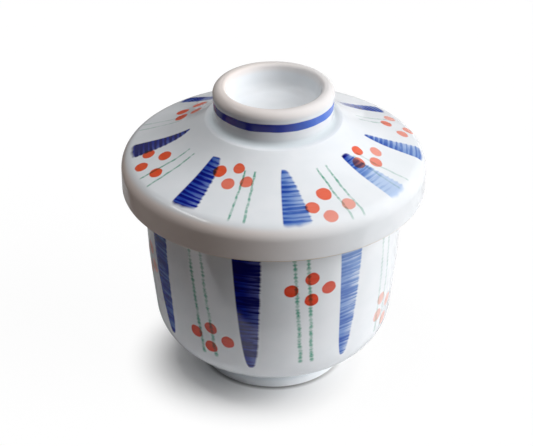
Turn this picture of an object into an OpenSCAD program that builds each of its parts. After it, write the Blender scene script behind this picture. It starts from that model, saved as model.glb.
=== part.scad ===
// Porcelain steaming cup with a cap lid. Two fired pieces, each turned about the same upright axis.
// The cup stands on a foot ring at z = 0. The lid caps the mouth from outside and rests on the rim.
// Lengths are in millimetres.

/* [Cup] */
// Height of the rim above the table
cup_h = 64.5; // [58:0.5:75]
// Outer diameter at the mouth
mouth_d = 73.9; // [68:0.1:82]
// Outer diameter at mid height, where the wall turns upright
side_d = 72.8; // [70:0.2:80]
// Height of that turn
side_z = 38; // [32:0.5:44]
// Radius of the slow swell of the wall
side_swell = 220; // [60:10:240]
// Outer diameter of the sharp corner that the belly rounds off
belly_d = 67.7; // [62:0.1:71]
// Height of that corner
belly_z = 13.3; // [11:0.1:16]
// Radius of the belly
belly_round = 14; // [6:0.5:16]
// Thickness of the wall
wall_t = 3.2; // [2.6:0.1:4]
// Radius on both edges of the lip
lip_round = 1.1; // [0.5:0.1:1.2]
// Thickness of the floor above the hollow of the foot
floor_t = 4.2; // [3.5:0.1:6]
// Radius where the floor turns up inside
floor_round = 18; // [6:1:24]

/* [Foot] */
// Outer diameter of the foot ring where it meets the table
foot_d = 41.6; // [36:0.2:46]
// Height of the foot ring
foot_h = 3.8; // [2.5:0.1:5]
// How much the foot ring widens upwards, on the diameter
foot_flare = 0.8; // [0:0.1:1.6]
// Width of the flat, unglazed land
foot_land = 3.2; // [2:0.1:4.5]
// Depth of the hollow inside the foot ring
foot_hollow = 2.6; // [1.5:0.1:3.4]
// Slope of the hollow's side, on the radius
foot_draft = 0.8; // [0:0.1:1.5]
// Radius on both edges of the land
foot_edge = 0.5; // [0.2:0.1:0.8]
// Radius in the waist between foot and belly
waist_round = 1.6; // [0.5:0.1:3]

/* [Lid] */
// Gap all round between the cup's mouth and the skirt
lid_play = 1.5; // [0.6:0.1:3]
// Thickness of the skirt
skirt_t = 4.6; // [3:0.1:6]
// How far the skirt reaches down past the cup's rim
skirt_drop = 6.8; // [3:0.1:12]
// Radius on both edges of the skirt's unglazed land
skirt_edge = 0.6; // [0.3:0.1:1.2]
// Height of the sharp crest corner above the seat
crest_rise = 2.8; // [2.4:0.1:5]
// Radius that rounds the crest
crest_round = 4.9; // [3:0.1:7]
// Diameter at which the roof bends up towards the knob
roof_bend_d = 53.4; // [46:0.2:58]
// Rise of the roof from the crest corner to the bend
roof_bend_rise = 5.6; // [4.5:0.1:7]
// Radius of that bend
roof_round = 46; // [10:1:60]
// Rise of the roof from the bend to the shoulder under the knob
roof_top_rise = 5.3; // [4.5:0.1:8]
// Thickness of the lid at its centre
lid_t = 5.6; // [4:0.1:7]
// Diameter of the sharp corner of the ceiling
dome_d = 32; // [24:1:40]
// Radius that rounds the ceiling
dome_round = 28; // [10:1:40]
// Radius on the edge of the seat and in the corner behind it
seat_round = 0.7; // [0.2:0.1:1.2]

/* [Knob] */
// Diameter of the shoulder that the ring knob stands on
shoulder_d = 38.6; // [36.5:0.1:42]
// Radius on the edge of the shoulder
shoulder_round = 0.7; // [0.2:0.1:1]
// Outer diameter of the ring knob at its foot
neck_d = 33.2; // [30:0.2:35.6]
// Radius where the knob grows out of the shoulder
neck_round = 1.4; // [0.5:0.1:2.5]
// Outer diameter of the ring knob at its rim
knob_d = 34.2; // [31:0.2:38]
// Height of the ring knob above the shoulder
knob_h = 9.9; // [6:0.1:12]
// Thickness of the knob's wall at the rim
knob_wall = 3.6; // [2.6:0.1:5]
// Radius on the outer edge of the knob's rim
knob_round = 2.2; // [0.8:0.1:2.4]
// Radius on the inner edge of the knob's rim
well_edge = 1; // [0.4:0.1:1.2]
// Depth of the well inside the knob
well_depth = 7; // [4:0.1:9]
// How much the well narrows to its floor, on the radius
well_draft = 1.4; // [0:0.1:3]
// Radius round the floor of the well
well_round = 3; // [1:0.1:6]

/* [Hidden] */

// Largest turn of one step along a rounded corner, in degrees
arc_step = 5;
// Steps in one turn about the axis
$fn = 180;
porcelain = [0.93, 0.95, 0.97];

mouth_r = mouth_d / 2;
foot_r = foot_d / 2;
floor_z = foot_hollow + floor_t;

// Corners of the cup's outside, from the waist up to the lip
waist = [foot_r + foot_flare / 2, foot_h];
belly = [belly_d / 2, belly_z];
side = [side_d / 2, side_z];
lip = [mouth_r, cup_h];

// The lid is placed from the rim that it rests on
seat_z = cup_h;
skirt_in_r = mouth_r + lid_play;
lid_r = skirt_in_r + skirt_t;
seat_in_r = mouth_r - wall_t;
crest_z = seat_z + crest_rise;
bend_z = crest_z + roof_bend_rise;
shoulder_z = bend_z + roof_top_rise;
knob_z = shoulder_z + knob_h;
well_z = knob_z - well_depth;
ceiling_z = well_z - lid_t;
knob_r = knob_d / 2;
well_r = knob_r - knob_wall;

function unit(v) = v / norm(v);
function turned(v, a) = [v.x * cos(a) - v.y * sin(a), v.x * sin(a) + v.y * cos(a)];
function left_of(v) = [-v.y, v.x];

// The corner at b, moved a distance t to the left of the path a, b, c
function inset(a, b, c, t) =
    let (m = left_of(unit(b - a)), n = left_of(unit(c - b)))
    b + (m + n) * t / (1 + m * n);

// Where the path from a to b meets the height z
function at_height(a, b, z) = a + (b - a) * (z - a.y) / (b.y - a.y);

// An outline is a list of corners [[r, z], radius]. The first and last lie on the axis and stay sharp.
function spot(outline, i) = outline[i][0];
function half_angle(outline, i) =
    acos(unit(spot(outline, i - 1) - spot(outline, i)) * unit(spot(outline, i + 1) - spot(outline, i))) / 2;

// Length of side that a rounded corner would take up
function reach(outline, i) =
    i <= 0 || i >= len(outline) - 1 ? 0 : outline[i][1] / tan(half_angle(outline, i));

// Share of the corner's radius that the side from corner i to corner j has room for
function room(outline, i, j) =
    let (wanted = reach(outline, i) + reach(outline, j))
    wanted == 0 ? 1 : min(1, norm(spot(outline, j) - spot(outline, i)) / wanted);

// Points of one rounded corner
function rounded(outline, i) =
    let (
        b = spot(outline, i),
        to_a = unit(spot(outline, i - 1) - b),
        to_c = unit(spot(outline, i + 1) - b),
        half = half_angle(outline, i),
        radius = outline[i][1] * min(room(outline, i - 1, i), room(outline, i, i + 1)),
        centre = b + unit(to_a + to_c) * radius / sin(half),
        first = b + to_a * radius / tan(half) - centre,
        sweep = (180 - 2 * half) * sign(cross(to_c, to_a)),
        steps = ceil(abs(sweep) / arc_step)
    )
    [for (k = [0 : steps]) centre + turned(first, sweep * k / steps)];

function smooth(outline) = [
    for (i = [0 : len(outline) - 1])
        each (i == 0 || i == len(outline) - 1 ? [spot(outline, i)] : rounded(outline, i))
];

module turned_piece(outline) {
    rotate_extrude() polygon(smooth(outline));
}

// The cup: foot ring, belly, upright wall and plain lip, with one even wall
module cup() {
    inner_belly = inset(waist, belly, side, wall_t);
    inner_side = inset(belly, side, lip, wall_t);
    inner_waist = inset(foot_r * [1, 0], waist, belly, wall_t);
    floor_edge = at_height(inner_waist, inner_belly, floor_z);
    color(porcelain) turned_piece([
        [[0, foot_hollow], 0],
        [[foot_r - foot_land - foot_draft, foot_hollow], foot_edge],
        [[foot_r - foot_land, 0], foot_edge],
        [[foot_r, 0], foot_edge],
        [waist, waist_round],
        [belly, belly_round],
        [side, side_swell],
        [lip, lip_round],
        [lip - [wall_t, 0], lip_round],
        [inner_side, side_swell - wall_t],
        [inner_belly, belly_round - wall_t],
        [floor_edge, floor_round],
        [[0, floor_z], 0],
    ]);
}

// The lid: domed ceiling, flat seat, skirt with a flat land, concave roof, and a ring knob with a round well
module lid() {
    color(porcelain) turned_piece([
        [[0, ceiling_z], 0],
        [[dome_d / 2, ceiling_z], dome_round],
        [[seat_in_r, seat_z], seat_round],
        [[skirt_in_r, seat_z], seat_round],
        [[skirt_in_r, seat_z - skirt_drop], skirt_edge],
        [[lid_r, seat_z - skirt_drop], skirt_edge],
        [[lid_r, crest_z], crest_round],
        [[roof_bend_d / 2, bend_z], roof_round],
        [[shoulder_d / 2, shoulder_z], shoulder_round],
        [[neck_d / 2, shoulder_z], neck_round],
        [[knob_r, knob_z], knob_round],
        [[well_r, knob_z], well_edge],
        [[well_r - well_draft, well_z], well_round],
        [[0, well_z], 0],
    ]);
}

cup();
lid();
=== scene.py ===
"""Looks of a painted porcelain steaming cup and its cap lid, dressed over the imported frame.

Both pieces are turned from their own section by one Geometry Nodes tree and painted in the shader:
blue brush strokes, pairs of green stalks and red berries under a clear glaze. Sizes are in millimetres
unless a name says otherwise, and azimuths are in degrees from the front, growing to the viewer's right.
"""

import logging
import math
from dataclasses import dataclass
from enum import Enum
from typing import Any, Mapping, Sequence

import bmesh
import bpy
from mathutils import Euler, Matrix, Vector


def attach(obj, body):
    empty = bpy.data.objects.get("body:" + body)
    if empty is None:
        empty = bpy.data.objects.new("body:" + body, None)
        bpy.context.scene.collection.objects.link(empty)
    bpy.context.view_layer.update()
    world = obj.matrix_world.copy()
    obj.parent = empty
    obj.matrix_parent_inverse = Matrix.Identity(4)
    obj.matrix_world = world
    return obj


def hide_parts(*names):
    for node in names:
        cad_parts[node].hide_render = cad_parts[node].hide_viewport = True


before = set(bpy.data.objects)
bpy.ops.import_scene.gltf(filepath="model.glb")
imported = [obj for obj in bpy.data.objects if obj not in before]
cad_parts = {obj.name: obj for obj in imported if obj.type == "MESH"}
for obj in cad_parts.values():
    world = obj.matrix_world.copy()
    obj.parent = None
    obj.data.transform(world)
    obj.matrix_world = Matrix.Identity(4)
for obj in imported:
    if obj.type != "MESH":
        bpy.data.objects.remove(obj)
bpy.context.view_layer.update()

MM = 0.001
PHOTO_WIDTH_PX = 533
LAMP_AIM_M = 0.06
BLACK = (0.0, 0.0, 0.0)
WHITE = (1.0, 1.0, 1.0)
LOG = logging.getLogger("steaming_cup")

Colour = tuple[float, float, float]
Span = tuple[float, float]


class Piece(Enum):
    """The two fired pieces, by the name of their CAD node and body."""

    CUP = "cup"
    LID = "lid"


class Reach(Enum):
    """What a painted mark's second number counts on a piece."""

    HEIGHT = "height"
    RADIUS = "radius"


def srgb(red: int, green: int, blue: int) -> Colour:
    """Turns a display colour into the linear colour that shaders take.

    Args:
        red: Red from 0 to 255.
        green: Green from 0 to 255.
        blue: Blue from 0 to 255.

    Returns:
        The linear colour.
    """

    def linear(level: int) -> float:
        """One channel of the colour."""
        share = level / 255
        return share / 12.92 if share <= 0.04045 else ((share + 0.055) / 1.055) ** 2.4

    return linear(red), linear(green), linear(blue)


@dataclass(frozen=True)
class Corner:
    """A corner of a turned section, rounded by an arc that is tangent to both sides."""

    r: float
    z: float
    rounding: float = 0.0

    def spot(self) -> Vector:
        """The corner's place in the section."""
        return Vector((self.r, self.z))


@dataclass(frozen=True)
class Section:
    """Half of a turned piece's section, from the axis out, up or down, and back to the axis."""

    corners: tuple[Corner, ...]
    arc_step: float = 4.0
    run_step: float = 1.1

    def _half_angle(self, i: int) -> float:
        """Half of the inner angle at one corner.

        Args:
            i: The corner's number.

        Returns:
            The angle in radians.
        """
        here = self.corners[i].spot()
        back = (self.corners[i - 1].spot() - here).normalized()
        ahead = (self.corners[i + 1].spot() - here).normalized()
        return math.acos(max(-1.0, min(1.0, back.dot(ahead)))) / 2

    def _take(self, i: int) -> float:
        """The length of side that the arc at one corner would take up.

        Args:
            i: The corner's number.

        Returns:
            The length, which is nothing at the two ends on the axis.
        """
        if i <= 0 or i >= len(self.corners) - 1:
            return 0.0
        return self.corners[i].rounding / math.tan(self._half_angle(i))

    def _room(self, i: int, j: int) -> float:
        """The share of its radius that the side between two corners leaves to an arc.

        Args:
            i: The first corner's number.
            j: The second corner's number.

        Returns:
            The share, 1 at most.
        """
        wanted = self._take(i) + self._take(j)
        length = (self.corners[j].spot() - self.corners[i].spot()).length
        return 1.0 if wanted == 0 else min(1.0, length / wanted)

    def _arc(self, i: int) -> list[Vector]:
        """Rounds one corner.

        Args:
            i: The corner's number.

        Returns:
            Points of its arc in order, or the corner alone where it is sharp.
        """
        here = self.corners[i].spot()
        back = (self.corners[i - 1].spot() - here).normalized()
        ahead = (self.corners[i + 1].spot() - here).normalized()
        half = self._half_angle(i)
        radius = self.corners[i].rounding * min(self._room(i - 1, i), self._room(i, i + 1))
        if radius == 0:
            return [here]
        centre = here + (back + ahead).normalized() * radius / math.sin(half)
        first = here + back * radius / math.tan(half) - centre
        turn = math.pi - 2 * half
        if ahead.x * back.y - ahead.y * back.x < 0:
            turn = -turn
        steps = max(2, math.ceil(abs(math.degrees(turn)) / self.arc_step))
        points = []
        for k in range(steps + 1):
            c, s = math.cos(turn * k / steps), math.sin(turn * k / steps)
            points.append(centre + Vector((first.x * c - first.y * s, first.x * s + first.y * c)))
        return points

    def points(self) -> list[Vector]:
        """Works out the rounded section.

        Returns:
            Its points in order, with long straight runs cut into short steps.
        """
        rough = [self.corners[0].spot()]
        for i in range(1, len(self.corners) - 1):
            rough.extend(self._arc(i))
        rough.append(self.corners[-1].spot())
        fine = [rough[0]]
        for a, b in zip(rough, rough[1:]):
            cuts = math.ceil((b - a).length / self.run_step)
            fine.extend(a.lerp(b, k / cuts) for k in range(1, cuts + 1))
        return fine

    def outermost(self, reach: Reach, value: float) -> tuple[float, float]:
        """Finds the outer surface at a radius or a height.

        Args:
            reach: Whether value is a radius or a height.
            value: The radius or the height.

        Returns:
            The radius and height of the highest, or widest, point there.
        """
        known, other = (0, 1) if reach is Reach.RADIUS else (1, 0)
        points = self.points()
        best = -1.0
        for a, b in zip(points, points[1:]):
            if min(a[known], b[known]) <= value <= max(a[known], b[known]) and a[known] != b[known]:
                share = (value - a[known]) / (b[known] - a[known])
                best = max(best, a[other] + share * (b[other] - a[other]))
        return (value, best) if reach is Reach.RADIUS else (best, value)


@dataclass(frozen=True)
class Mark:
    """A place on a painted surface: its azimuth, and its radius on the lid or its height on the cup."""

    azimuth: float
    reach: float


@dataclass(frozen=True)
class Stroke:
    """One blue brush stroke, from its tip to its broad end.

    A blunt stroke starts with some width, and a drain below 1 uses up the tip's ink sooner.
    """

    tip: Mark
    end: Mark
    left: float
    right: float
    tip_ink: float = 0.5
    end_ink: float = 0.5
    dry: float = 0.3
    blunt: float = 0.0
    drain: float = 1.0


@dataclass(frozen=True)
class Stalk:
    """One thin green line, which may fade towards its end."""

    start: Mark
    end: Mark
    strength: float = 1.0
    fade: float = 0.0


@dataclass(frozen=True)
class Berry:
    """One red dot. A pale one has less pigment; on the cup's brightly lit right side the paleness is
    painted light.
    """

    place: Mark
    radius: float = 1.95
    pale: float = 0.0


@dataclass(frozen=True)
class BrushHand:
    """How the brush was held on one piece: the bow of a stroke's edges, its hairs, a stalk's beads.

    Each span holds the two places between which an edge or a fade runs from nothing to full.
    """

    left_power: float
    right_power: float
    hair_pitch: float
    hair_jitter: float
    hair_share: float
    stalk_half: float
    stalk_soft: float
    bead_pitch: float
    bead_depth: float
    bead_jitter: float
    bead_ease: float = 0.7
    streaks_round: float = 2.4
    streaks_along: float = 0.7
    streak_blend: Span = (0.32, 0.68)
    hair_contrast: Span = (0.2, 0.8)
    shake: float = 0.7
    least_width: float = 0.2
    edge_rag: float = 0.08
    fray: float = 0.006
    fray_turns: float = 1.7
    fray_drift: float = 9.0
    end_bow: float = 0.9
    left_edge: Span = (-0.2, 0.3)
    right_edge: Span = (-0.3, 0.45)
    tip_edge: Span = (-0.012, 0.014)
    end_edge: Span = (1.025, 0.95)
    stalk_end: Span = (-0.2, 0.6)
    dry_side: Span = (0.3, 1.0)
    own_side: Span = (4.0, 8.0)


@dataclass(frozen=True)
class Parting:
    """The middle of the wall, which parts the painted outside from the plain inside.

    On the cup it is a radius that changes with height, on the lid a height that changes with radius.
    """

    level: float
    knee: float
    slope: float
    soft: float = 0.2


@dataclass(frozen=True)
class Ring:
    """A ring of a turned surface, between two radii and two heights."""

    r_low: float
    r_high: float
    z_low: float
    z_high: float

    @classmethod
    def around(cls, r: float, z: float, inward: float, outward: float, down: float, up: float) -> "Ring":
        """The ring that reaches some way to each side of a circle at a radius and a height."""
        return cls(r - inward, r + outward, z - down, z + up)


@dataclass(frozen=True)
class ThinGlazeAndWarmShade:
    """A ring where the glaze ran thin, with its share on the left and on the right of the piece. A larger
    share on the left is painted brown shade, on the side that the light from the right does not reach.
    """

    ring: Ring
    left: float
    right: float


@dataclass(frozen=True)
class PaintedLine:
    """A blue line round the knob: its two heights, and the radius that it stays outside of."""

    low: float
    high: float
    inner_r: float


@dataclass(frozen=True)
class Painting:
    """Everything that is painted on one piece."""

    reach: Reach
    parting: Parting
    hand: BrushHand
    strokes: tuple[Stroke, ...]
    stalks: tuple[Stalk, ...]
    berries: tuple[Berry, ...]


@dataclass(frozen=True)
class Grain:
    """One noise texture: its scale per millimetre, its octaves and its roughness."""

    scale: float
    detail: float = 2.0
    rough: float = 0.5


STREAK = Grain(1.0, 3.0, 0.62)
CLOUD = Grain(0.16)
SHAKE = Grain(0.3, 1.0)
RIPPLE = Grain(0.11, 2.0, 0.45)
SPECK = Grain(2.6, 3.0, 0.6)
CLAY = Grain(3.2, 2.0, 0.6)


class Wire:
    """A value in a shader that takes part in Python arithmetic."""

    def __init__(self, canvas: "Canvas", socket: bpy.types.NodeSocket) -> None:
        """Takes the value from one socket of a canvas."""
        self.canvas = canvas
        self.socket = socket

    def _math(self, operation: str, *values: "Wire | float") -> "Wire":
        """Adds one Math node."""
        return self.canvas.value("ShaderNodeMath", {"operation": operation}, dict(enumerate(values)))

    def __add__(self, other: "Wire | float") -> "Wire":
        """Sum."""
        return self._math("ADD", self, other)

    __radd__ = __add__

    def __sub__(self, other: "Wire | float") -> "Wire":
        """Difference."""
        return self._math("SUBTRACT", self, other)

    def __rsub__(self, other: "Wire | float") -> "Wire":
        """Difference the other way round."""
        return self._math("SUBTRACT", other, self)

    def __mul__(self, other: "Wire | float") -> "Wire":
        """Product."""
        return self._math("MULTIPLY", self, other)

    __rmul__ = __mul__

    def __truediv__(self, other: "Wire | float") -> "Wire":
        """Quotient."""
        return self._math("DIVIDE", self, other)

    def __pow__(self, other: "Wire | float") -> "Wire":
        """Power."""
        return self._math("POWER", self, other)

    def __abs__(self) -> "Wire":
        """Size without sign."""
        return self._math("ABSOLUTE", self)

    def at_least(self, other: "Wire | float") -> "Wire":
        """The larger of two values."""
        return self._math("MAXIMUM", self, other)

    def at_most(self, other: "Wire | float") -> "Wire":
        """The smaller of two values."""
        return self._math("MINIMUM", self, other)

    def sine(self) -> "Wire":
        """Sine of a value in radians."""
        return self._math("SINE", self)

    def wave(self) -> "Wire":
        """A wave between 0 and 1 along a value in radians."""
        return self.sine() * 0.5 + 0.5

    def step(self, low: "Wire | float", high: "Wire | float") -> "Wire":
        """Rises smoothly from 0 at low to 1 at high."""
        return self.canvas.value(
            "ShaderNodeMapRange", {"interpolation_type": "SMOOTHSTEP"}, {0: self, 1: low, 2: high}
        )

    def between(self, low: float, high: float, soft: float) -> "Wire":
        """A band from low to high with soft edges."""
        return self.step(low - soft, low + soft) * self.step(high + soft, high - soft)


class Nodes:
    """A node tree that is put together in Python."""

    def __init__(self, tree: bpy.types.NodeTree) -> None:
        """Starts with an emptied tree."""
        self.tree = tree
        self.tree.nodes.clear()

    def node(
        self, kind: str, settings: Mapping[str, Any] | None = None, inputs: Mapping[Any, Any] | None = None
    ) -> bpy.types.Node:
        """Adds one node.

        Args:
            kind: The node's type.
            settings: Its settings, which are set first. "stops" holds a ramp's (place, colour) pairs.
            inputs: Values or links of its sockets, by number or name.

        Returns:
            The node.
        """
        node = self.tree.nodes.new(kind)
        for name, setting in (settings or {}).items():
            if name == "stops":
                self._stops(node, setting)
            else:
                setattr(node, name, setting)
        for key, given in (inputs or {}).items():
            socket = node.inputs[key]
            if isinstance(given, Wire):
                self.tree.links.new(given.socket, socket)
            elif isinstance(given, bpy.types.NodeSocket):
                self.tree.links.new(given, socket)
            elif socket.type == "RGBA" and len(given) == 3:
                socket.default_value = (*given, 1.0)
            else:
                socket.default_value = given
        return node

    def _stops(self, node: bpy.types.Node, stops: Sequence[tuple[float, Colour]]) -> None:
        """Sets the stops of a colour ramp.

        Args:
            node: The ramp.
            stops: Its (place, colour) pairs in order.
        """
        elements = node.color_ramp.elements
        while len(elements) < len(stops):
            elements.new(1.0)
        for element, (place, colour) in zip(elements, stops):
            element.position = place
            element.color = (*colour, 1.0)


class Canvas(Nodes):
    """The node tree of one material or of the world."""

    def __init__(self, owner: bpy.types.Material | bpy.types.World) -> None:
        """Takes over the owner's own tree."""
        owner.use_nodes = True
        super().__init__(owner.node_tree)

    def value(
        self, kind: str, settings: Mapping[str, Any] | None = None, inputs: Mapping[Any, Any] | None = None
    ) -> Wire:
        """Adds one node and returns its first output as a value."""
        return Wire(self, self.node(kind, settings, inputs).outputs[0])

    def dot(self, vector: bpy.types.NodeSocket, direction: Vector) -> Wire:
        """How far a vector reaches along a direction."""
        node = self.node("ShaderNodeVectorMath", {"operation": "DOT_PRODUCT"}, {0: vector, 1: direction})
        return Wire(self, node.outputs["Value"])

    def distance(self, vector: bpy.types.NodeSocket, place: Vector) -> Wire:
        """How far a vector is from a place."""
        node = self.node("ShaderNodeVectorMath", {"operation": "DISTANCE"}, {0: vector, 1: place})
        return Wire(self, node.outputs["Value"])

    def vector(self, operation: str, a: Any, b: Any) -> bpy.types.NodeSocket:
        """Adds one Vector Math node and returns its vector."""
        return self.node("ShaderNodeVectorMath", {"operation": operation}, {0: a, 1: b}).outputs["Vector"]

    def scaled(self, vector: bpy.types.NodeSocket, scale: float) -> bpy.types.NodeSocket:
        """A vector times a number."""
        settings = {"operation": "SCALE"}
        return self.node("ShaderNodeVectorMath", settings, {0: vector, "Scale": scale}).outputs["Vector"]

    def mix(self, share: Wire | float, a: Any, b: Any, blend: str = "MIX") -> bpy.types.NodeSocket:
        """Adds one colour Mix node.

        Args:
            share: How much of b is used.
            a: The colour underneath.
            b: The colour on top.
            blend: The Mix node's blend type.

        Returns:
            The mixed colour.
        """
        settings = {"data_type": "RGBA", "blend_type": blend}
        return self.node("ShaderNodeMix", settings, {0: share, 6: a, 7: b}).outputs[2]

    def noise(self, vector: Any, grain: Grain) -> bpy.types.Node:
        """Adds one noise texture."""
        inputs = {"Vector": vector, "Scale": grain.scale, "Detail": grain.detail, "Roughness": grain.rough}
        return self.node("ShaderNodeTexNoise", {"noise_dimensions": "3D"}, inputs)

    def grain(self, vector: Any, grain: Grain) -> Wire:
        """The value of one noise texture."""
        return Wire(self, self.noise(vector, grain).outputs[0])


@dataclass(frozen=True)
class InkFinish:
    """Cobalt brushed on the biscuit: thin where the brush ran dry, dark where it pooled."""

    palest: Colour = srgb(182, 202, 232)
    pale: Colour = srgb(114, 146, 203)
    middle: Colour = srgb(52, 88, 174)
    dark: Colour = srgb(8, 28, 142)
    deep: Colour = srgb(0, 3, 96)
    side_fade: float = 0.16
    hair_tone: float = 0.36
    least_hair_tone: float = 0.1
    cloud_tone: float = 0.34
    least_mask: float = 0.02
    relief: float = 0.004
    line: Colour = srgb(0, 4, 136)
    line_thin: Colour = srgb(76, 122, 221)
    line_cover: float = 0.97
    line_wave: float = 0.5
    line_streaks: float = 0.35
    # Where the knob line pales to the right: thinner ink, and painted light on the side that the key light
    # falls on
    line_thin_and_lit_span: Span = (-3.0, 18.0)
    line_soft: float = 0.12
    line_reach: float = 0.3


@dataclass(frozen=True)
class EnamelFinish:
    """Translucent red and green, as the tint that they lay over what is under them."""

    red: Colour = (0.96, 0.092, 0.016)
    pale_red: Colour = (1.0, 0.46, 0.35)
    unevenness: float = 0.12
    red_streaks: Span = (0.3, 0.75)
    dab_edge: Span = (1.06, 0.90)
    rim_edge: Span = (0.62, 0.92)
    rim_share: float = 0.2
    rim_tone: float = 0.74
    cover: float = 0.97
    thinner_when_pale: float = 0.22
    roughness: float = 0.3
    relief: float = 0.02
    green: Colour = (0.12, 0.42, 0.29)
    least_green: float = 0.4
    green_streaks: float = 0.56
    green_wear: Span = (0.32, 0.62)


@dataclass(frozen=True)
class GlazeFinish:
    """Clear gloss glaze over bluish white porcelain, bare where the piece stood in the kiln."""

    body: Colour = (0.835, 0.858, 0.885)
    clouding: float = 0.14
    clouds: Span = (0.3, 0.7)
    # Warm tint of thin glaze; where a ring lays more of it on the left, it is painted brown shade
    thin: Colour = (0.825, 0.71, 0.645)
    warm_shade_left_to_right: Span = (-22.0, 26.0)
    # Bluish pooled glaze; in the creases at the knob's foot and the cup's foot waist it is also painted
    # shade
    pooled: Colour = (0.62, 0.70, 0.74)
    pooling_and_shade: float = 0.6
    ring_soft: float = 0.9
    specular: float = 0.37
    roughness: float = 0.08
    uneven_gloss: float = 0.06
    ripple: float = 0.07
    bare: Colour = srgb(232, 217, 198)
    toasted: float = 0.86
    specks: Span = (0.35, 0.7)
    bare_wave: float = 0.25
    bare_soft: float = 0.1
    bare_roughness: float = 0.75
    bare_relief: float = 0.08


@dataclass
class Porcelain:
    """The painted and glazed material of one piece."""

    name: str
    painting: Painting
    section: Section
    bare_height: float
    thin_glaze_and_shade_rings: tuple[ThinGlazeAndWarmShade, ...]
    pooled_and_shaded_ring: Ring
    knob_line: PaintedLine | None = None
    glaze: GlazeFinish = GlazeFinish()
    ink: InkFinish = InkFinish()
    enamel: EnamelFinish = EnamelFinish()

    def place(self, mark: Mark) -> Vector:
        """Finds the point of the outer surface that a mark names.

        Args:
            mark: The mark.

        Returns:
            The point in millimetres.
        """
        r, z = self.section.outermost(self.painting.reach, mark.reach)
        a = math.radians(mark.azimuth)
        return Vector((r * math.sin(a), -r * math.cos(a), z))

    def build(self) -> bpy.types.Material:
        """Builds the material.

        Returns:
            The finished material.
        """
        material = bpy.data.materials.new(self.name)
        canvas = Canvas(material)
        self.canvas = canvas
        coords = canvas.node("ShaderNodeTexCoord").outputs["Object"]
        self.point = canvas.scaled(coords, 1 / MM)
        split = canvas.node("ShaderNodeSeparateXYZ", None, {0: self.point})
        self.x, self.y, self.z = (Wire(canvas, socket) for socket in split.outputs)
        self.r = (self.x * self.x + self.y * self.y) ** 0.5
        on_lid = self.painting.reach is Reach.RADIUS
        self.along, self.across = (self.r, self.z) if on_lid else (self.z, self.r)
        self._brush_grain()
        self.outside = self._outside()
        colour, bare = self._body()
        colour, ink = self._strokes(colour)
        colour = self._stalks(colour)
        colour, red = self._berries(colour)
        colour = canvas.mix(bare, colour, self._biscuit())
        self._shade(colour, bare, ink, red)
        return material

    def _brush_grain(self) -> None:
        """Sets up the hairs' streaks across a stroke and the shake of the painter's hand."""
        canvas = self.canvas
        hand = self.painting.hand
        turning = self.r.at_least(1.0) / hand.streaks_round
        inputs = {0: self.x / turning, 1: self.y / turning, 2: self.along * hand.streaks_along}
        self.streak = canvas.grain(canvas.node("ShaderNodeCombineXYZ", None, inputs).outputs[0], STREAK)
        self.cloud = canvas.grain(self.point, CLOUD)
        turns = self.along / hand.hair_pitch + self.streak * hand.hair_jitter
        hair = (turns * (2 * math.pi)).wave()
        soft = self.streak.step(*hand.streak_blend)
        self.hairs = (hair * hand.hair_share + soft * (1 - hand.hair_share)).step(*hand.hair_contrast)
        shake = canvas.vector("SUBTRACT", canvas.noise(self.point, SHAKE).outputs[1], (0.5, 0.5, 0.5))
        self.shaken = canvas.vector("ADD", self.point, canvas.scaled(shake, hand.shake))

    def _outside(self) -> Wire:
        """Parts the painted outside of the wall from its inside.

        Returns:
            The mask of the outside.
        """
        parting = self.painting.parting
        middle = (parting.knee - self.along).at_least(0.0) * parting.slope + parting.level
        return (self.across - middle).step(-parting.soft, parting.soft)

    def _ring(self, ring: Ring) -> Wire:
        """The soft mask of a ring of the surface."""
        soft = self.glaze.ring_soft
        return self.r.between(ring.r_low, ring.r_high, soft) * self.z.between(ring.z_low, ring.z_high, soft)

    def _body(self) -> tuple[bpy.types.NodeSocket, Wire]:
        """The glazed body: thin on edges, with painted brown shade on the lid's left, pooled in hollows and
        deepened there into painted shade, bare on the land it was fired on.

        Returns:
            The colour, and the mask of the bare land.
        """
        canvas = self.canvas
        glaze = self.glaze
        colour = canvas.mix(self.cloud.step(*glaze.clouds) * glaze.clouding, glaze.body, glaze.pooled)
        for thin in self.thin_glaze_and_shade_rings:
            # Painted brown shade: a ring's share runs from its left value to its right value across the
            # piece
            share = self.x.step(*glaze.warm_shade_left_to_right) * (thin.right - thin.left) + thin.left
            colour = canvas.mix(self._ring(thin.ring) * share, colour, glaze.thin)
        # Pooled glaze in the crease, deepened into painted shade
        colour = canvas.mix(self._ring(self.pooled_and_shaded_ring) * glaze.pooling_and_shade, colour, glaze.pooled)
        if self.knob_line:
            colour = self._line(colour, self.knob_line)
        edge = (self.cloud - 0.5) * glaze.bare_wave
        bare = (self.z + edge).step(self.bare_height + glaze.bare_soft, self.bare_height - glaze.bare_soft)
        return colour, bare

    def _line(self, colour: bpy.types.NodeSocket, line: PaintedLine) -> bpy.types.NodeSocket:
        """Paints the blue line round the knob.

        Args:
            colour: What is under it.
            line: Where it runs.

        Returns:
            The colour with the line.
        """
        canvas = self.canvas
        ink = self.ink
        wave = (self.cloud - 0.5) * ink.line_wave
        mask = (self.z + wave).between(line.low, line.high, ink.line_soft)
        mask = mask * self.r.step(line.inner_r, line.inner_r + ink.line_reach)
        # Painted light: the line pales towards the lit right side, partly also thinner ink
        load = self.x.step(*ink.line_thin_and_lit_span) + (self.streak - 0.5) * ink.line_streaks
        blue = canvas.mix(load.at_least(0.0), ink.line, ink.line_thin)
        return canvas.mix(mask * ink.line_cover, colour, blue)

    def _biscuit(self) -> bpy.types.NodeSocket:
        """The bare clay of the land, speckled and slightly toasted.

        Returns:
            Its colour.
        """
        glaze = self.glaze
        specks = self.canvas.grain(self.point, SPECK).step(*glaze.specks)
        toasted = tuple(glaze.toasted * level for level in glaze.bare)
        return self.canvas.mix(specks, glaze.bare, toasted)

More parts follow.
